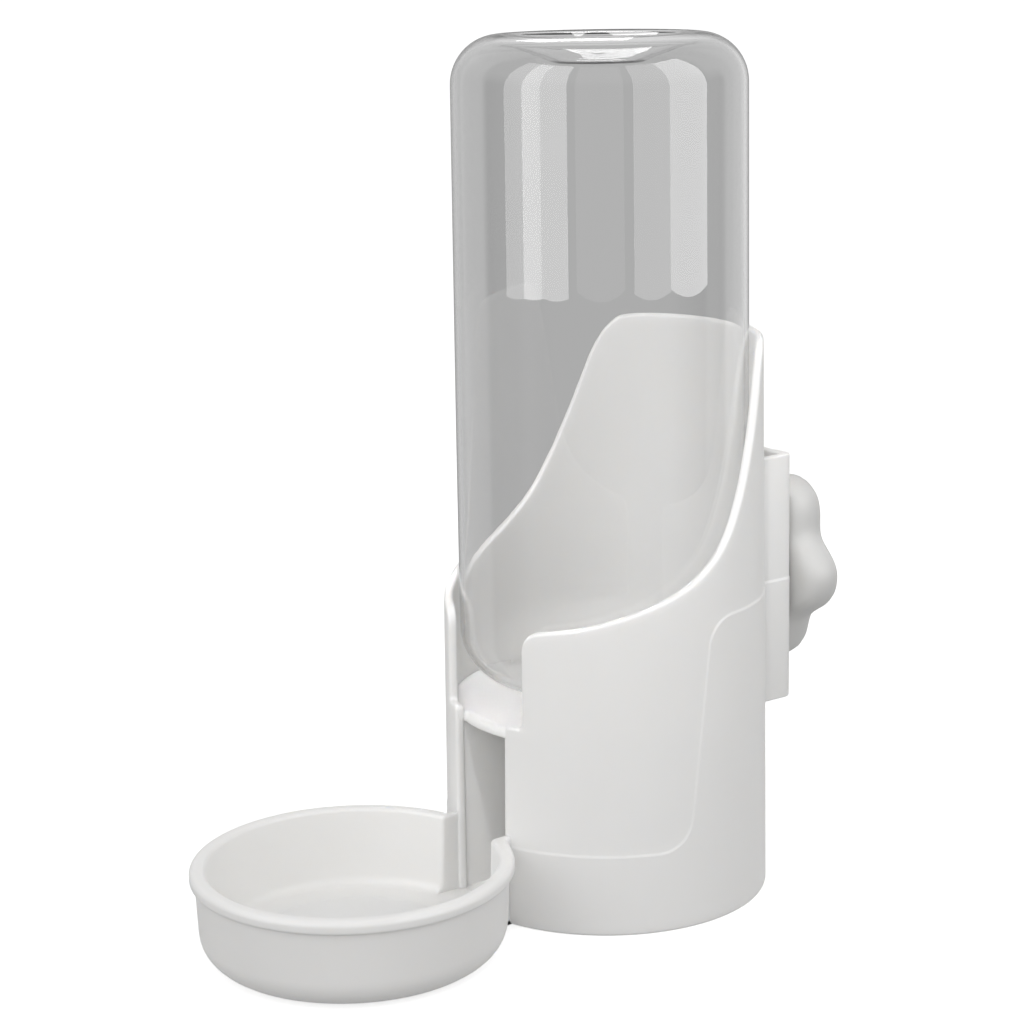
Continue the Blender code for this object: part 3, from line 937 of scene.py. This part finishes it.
def moulded_plastic(name, low, high, rough_low, rough_high, scatter=0.4):
    """Satin moulded plastic: cloudy tone, faint flow marks, a fine skin and slight scatter."""
    mat, nodes, links, shader = new_material(name)
    vector = stretched(nodes, links, (1.0, 1.0, 1.0))
    cloud = noise(nodes, links, vector, 26.0, 4.0, 0.55)
    links.new(tinted(nodes, links, cloud, low, high), shader.inputs["Base Color"])
    flow = noise(nodes, links, stretched(nodes, links, (1.0, 1.0, 0.25)), 90.0, 3.0)
    links.new(ranged(nodes, links, flow, rough_low, rough_high), shader.inputs["Roughness"])
    skin = noise(nodes, links, vector, 1500.0, 2.0)
    bumped(nodes, links, skin, shader, 0.05, 0.0002)
    shader.inputs["Specular IOR Level"].default_value = 0.2
    shader.inputs["Subsurface Weight"].default_value = scatter
    shader.inputs["Subsurface Radius"].default_value = (1.0, 0.95, 0.88)
    shader.inputs["Subsurface Scale"].default_value = 0.0016
    return mat


def clear_plastic(name):
    """Clear blown plastic: faint vertical draw lines, specks, and lamps shine through it."""
    mat, nodes, links, shader = new_material(name)
    shader.inputs["Base Color"].default_value = (1.0, 1.0, 1.0, 1.0)
    shader.inputs["Transmission Weight"].default_value = 1.0
    shader.inputs["IOR"].default_value = 1.46
    streaks = noise(nodes, links, stretched(nodes, links, (1.0, 1.0, 0.03)), 160.0, 2.0, 0.5)
    specks = noise(nodes, links, stretched(nodes, links, (1.0, 1.0, 1.0)), 420.0, 2.0)
    links.new(ranged(nodes, links, specks, 0.0, 0.02, 0.55, 0.8), shader.inputs["Roughness"])
    bumped(nodes, links, streaks, shader, 0.08, 0.0002)
    clear = nodes.new("ShaderNodeBsdfTransparent")
    clear.inputs["Color"].default_value = (0.99, 0.99, 0.99, 1.0)
    path = nodes.new("ShaderNodeLightPath")
    mix = nodes.new("ShaderNodeMixShader")
    output = nodes["Material Output"]
    either = nodes.new("ShaderNodeMath")
    either.operation = "MAXIMUM"
    links.new(path.outputs["Is Shadow Ray"], either.inputs[0])
    links.new(path.outputs["Is Diffuse Ray"], either.inputs[1])
    links.new(either.outputs["Value"], mix.inputs["Fac"])
    links.new(shader.outputs["BSDF"], mix.inputs[1])
    links.new(clear.outputs["BSDF"], mix.inputs[2])
    links.new(mix.outputs["Shader"], output.inputs["Surface"])
    return mat


def rubber(name, low, high):
    """Dull rubber with a cloudy tone and a fine grain."""
    mat, nodes, links, shader = new_material(name)
    vector = stretched(nodes, links, (1.0, 1.0, 1.0))
    cloud = noise(nodes, links, vector, 60.0, 4.0, 0.6)
    links.new(tinted(nodes, links, cloud, low, high), shader.inputs["Base Color"])
    links.new(ranged(nodes, links, cloud, 0.55, 0.72), shader.inputs["Roughness"])
    bumped(nodes, links, noise(nodes, links, vector, 2200.0, 3.0), shader, 0.25, 0.0002)
    return mat


def spring_wire(name):
    """Drawn steel wire with fine streaks."""
    mat, nodes, links, shader = new_material(name)
    shader.inputs["Metallic"].default_value = 1.0
    vector = stretched(nodes, links, (1.0, 1.0, 1.0))
    drawn = noise(nodes, links, vector, 900.0, 3.0)
    tint = tinted(nodes, links, drawn, (0.55, 0.55, 0.56), (0.75, 0.75, 0.76))
    links.new(tint, shader.inputs["Base Color"])
    links.new(ranged(nodes, links, drawn, 0.2, 0.38), shader.inputs["Roughness"])
    return mat


# ---------------------------------------------------------------- assembly

WHITE = ((0.872, 0.867, 0.855), (0.888, 0.884, 0.875))
KNOB_WHITE = ((0.68, 0.677, 0.667), (0.70, 0.697, 0.687))
CAP_WHITE = ((0.80, 0.80, 0.785), (0.84, 0.84, 0.825))
white = moulded_plastic("white_moulding", *WHITE, 0.40, 0.47)
knob_white = moulded_plastic("knob_plastic", *KNOB_WHITE, 0.4, 0.48)
cap_white = moulded_plastic("cap_plastic", *CAP_WHITE, 0.32, 0.44)
valve_white = moulded_plastic("valve_plastic", *CAP_WHITE, 0.35, 0.48)
clear = clear_plastic("clear_bottle")
pale_rubber = rubber("washer_rubber", (0.72, 0.72, 0.70), (0.78, 0.78, 0.76))
gasket_rubber = rubber("gasket_rubber", (0.66, 0.66, 0.64), (0.72, 0.72, 0.70))
black_rubber = rubber("seal_rubber", (0.03, 0.03, 0.03), (0.06, 0.06, 0.06))
wire = spring_wire("spring_steel")

base_pieces = [make_wall(white), make_well(white), make_shelf(white), make_bowl(white),
               make_bowl_step(white), make_box(white), make_stud(white)]
place(base_pieces[0], "base", "base")
for piece in base_pieces[1:]:
    place(piece, "base")

place(make_bottle(clear), "bottle", "bottle")
place(make_neck_thread(clear), "bottle")
place(make_cap(cap_white), "cap", "cap")
place(make_spring(wire), "cap", "valve_spring")
place(make_washer(pale_rubber), "washer", "clamp_washer")
place(make_knob(knob_white), "knob", "knob")
for node, material in (("cap_gasket", gasket_rubber), ("valve_cage", valve_white),
                       ("valve_stem", valve_white), ("valve_seal", black_rubber)):
    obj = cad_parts[node]
    obj.data.materials.clear()
    obj.data.materials.append(material)
    obj.data.set_sharp_from_angle(angle=math.radians(40))


# ---------------------------------------------------------------- stage, light and camera

def make_floor():
    """A wide white floor, seen by the camera but not reflected and not seen through the bottle."""
    bm = bmesh.new()
    bmesh.ops.create_grid(bm, x_segments=1, y_segments=1, size=30000.0)
    floor = to_object("floor", bm, None)
    mat, _, _, shader = new_material("pale_floor")
    shader.inputs["Base Color"].default_value = (0.9, 0.9, 0.9, 1.0)
    shader.inputs["Roughness"].default_value = 0.8
    shader.inputs["Emission Color"].default_value = (1.0, 1.0, 1.0, 1.0)
    shader.inputs["Emission Strength"].default_value = 0.45
    floor.data.materials.append(mat)
    floor.visible_transmission = False
    floor.visible_glossy = False
    floor.visible_diffuse = False


def softbox(name, angle, distance, height, size, power, target=(0.0, 0.0, 0.09)):
    """A rectangular lamp at an angle from the front towards +X, aimed at the object."""
    data = bpy.data.lights.new(name, "AREA")
    data.shape = "RECTANGLE"
    data.size, data.size_y = size
    data.energy = power
    lamp = bpy.data.objects.new(name, data)
    bpy.context.scene.collection.objects.link(lamp)
    a = math.radians(angle)
    lamp.location = (distance * math.sin(a), -distance * math.cos(a), height)
    lamp.rotation_euler = (Vector(target) - lamp.location).to_track_quat("-Z", "Y").to_euler()
    return lamp


def light_only(lamp):
    """A lamp that lights surfaces, but shows neither in reflections nor through the bottle."""
    lamp.visible_glossy = False
    lamp.visible_transmission = False


def reflection_only(lamp):
    """A lamp that shows in reflections, but lights nothing and isn't seen through the bottle."""
    lamp.visible_diffuse = False
    lamp.visible_transmission = False


def make_camera():
    """The view from the right of the front, a little above, with a long lens."""
    data = bpy.data.cameras.new("camera")
    data.lens = 85.1
    data.sensor_width = 36.0
    data.shift_y = -0.08
    data.clip_start = 0.01
    data.clip_end = 60.0
    camera = bpy.data.objects.new("camera", data)
    bpy.context.scene.collection.objects.link(camera)
    a = math.radians(CAMERA_ANGLE)
    distance, height = 0.552287, 0.218942
    camera.location = (distance * math.sin(a), -distance * math.cos(a), height)
    yaw = math.radians(CAMERA_ANGLE + 2.1776)
    pitch = math.radians(11.2305)
    roll = math.radians(-0.95)
    look = Matrix.Rotation(yaw, 4, "Z") @ Matrix.Rotation(math.pi / 2 - pitch, 4, "X")
    camera.rotation_euler = (look @ Matrix.Rotation(roll, 4, "Z")).to_euler()
    bpy.context.scene.camera = camera


def make_world():
    """White behind the object. The bottle shows and mirrors a room that is grey round the
    horizon and brighter overhead, with darker bands at the sides that draw its edges.

    The stops are (degrees round from the side of the camera, brightness).
    """
    horizon = [(-180, 0.41), (-166, 0.41), (-160, 0.56), (-101, 0.56), (-96, 0.12), (-70, 0.20),
               (-60, 0.42), (60, 0.42), (85, 0.16), (109, 0.12), (115, 0.72), (160, 0.70),
               (166, 0.41), (180, 0.41)]
    world = bpy.data.worlds.new("studio")
    world.use_nodes = True
    nodes, links = world.node_tree.nodes, world.node_tree.links
    coord = nodes.new("ShaderNodeTexCoord")
    turn = nodes.new("ShaderNodeMapping")
    turn.inputs["Rotation"].default_value = (0.0, 0.0, math.radians(90 - CAMERA_ANGLE))
    links.new(coord.outputs["Generated"], turn.inputs["Vector"])
    round_it = nodes.new("ShaderNodeTexGradient")
    round_it.gradient_type = "RADIAL"
    links.new(turn.outputs["Vector"], round_it.inputs["Vector"])
    ramp = nodes.new("ShaderNodeValToRGB")
    links.new(round_it.outputs["Fac"], ramp.inputs["Fac"])
    stops = ramp.color_ramp.elements
    while len(stops) < len(horizon):
        stops.new(0.5)
    for stop, (degrees, level) in zip(stops, horizon):
        stop.position = 0.5 + degrees / 360
        stop.color = (level, level, level, 1.0)
    split = nodes.new("ShaderNodeSeparateXYZ")
    links.new(coord.outputs["Generated"], split.inputs["Vector"])
    mix = nodes.new("ShaderNodeMix")
    mix.data_type = "RGBA"
    links.new(ranged(nodes, links, split.outputs["Z"], 0.0, 1.0, 0.12, 0.4), mix.inputs["Factor"])
    links.new(ramp.outputs["Color"], mix.inputs["A"])
    mix.inputs["B"].default_value = (0.70, 0.70, 0.70, 1.0)
    backdrop = nodes.new("ShaderNodeMix")
    backdrop.data_type = "RGBA"
    path = nodes.new("ShaderNodeLightPath")
    links.new(path.outputs["Is Camera Ray"], backdrop.inputs["Factor"])
    links.new(mix.outputs["Result"], backdrop.inputs["A"])
    backdrop.inputs["B"].default_value = (1.0, 1.0, 1.0, 1.0)
    links.new(backdrop.outputs["Result"], nodes["Background"].inputs["Color"])
    bpy.context.scene.world = world


def panel(name, start, end, z0, z1, brightness):
    """A tall panel 1 m away, between two angles from the camera's side, seen in reflections."""
    width = 2 * math.tan(math.radians(end - start) / 2)
    middle = (z0 + z1) / 2
    power = brightness * math.pi * width * (z1 - z0)
    lamp = softbox(name, CAMERA_ANGLE + (start + end) / 2, 1.0, middle, (width, z1 - z0), power,
                   (0.0, 0.0, middle))
    reflection_only(lamp)


make_floor()
make_world()
for name, angle, distance, height, size, power, spread in (
        ("left_softbox", -50, 1.0, 0.5, (0.75, 1.1), 2.35, 180),
        ("right_softbox", 62, 1.0, 0.5, (0.75, 1.1), 2.55, 180),
        ("front_softbox", -8, 1.1, 0.62, (0.6, 0.5), 1.4, 180),
        ("snoot", -8, 0.38, 0.97, (0.05, 0.05), 0.013, 8)):
    lamp = softbox(name, CAMERA_ANGLE + angle, distance, height, size, power)
    lamp.data.spread = math.radians(spread)
    light_only(lamp)
for name, start, end, brightness in (
        ("left_panel_1", -76, -60, 3.3), ("left_panel_2", -60, -45, 7.6),
        ("left_panel_3", -45, -24, 5.0), ("middle_panel", -18, 18, 0.9),
        ("right_panel_1", 25, 54, 2.8), ("right_panel_2", 54, 88, 6.3)):
    panel(name, start, end, 0.01, 1.4, brightness)
reflection_only(softbox("back_softbox", CAMERA_ANGLE + 185, 0.9, 0.95, (0.34, 0.3), 1.3))
make_camera()
bpy.context.scene.view_settings.view_transform = "Standard"
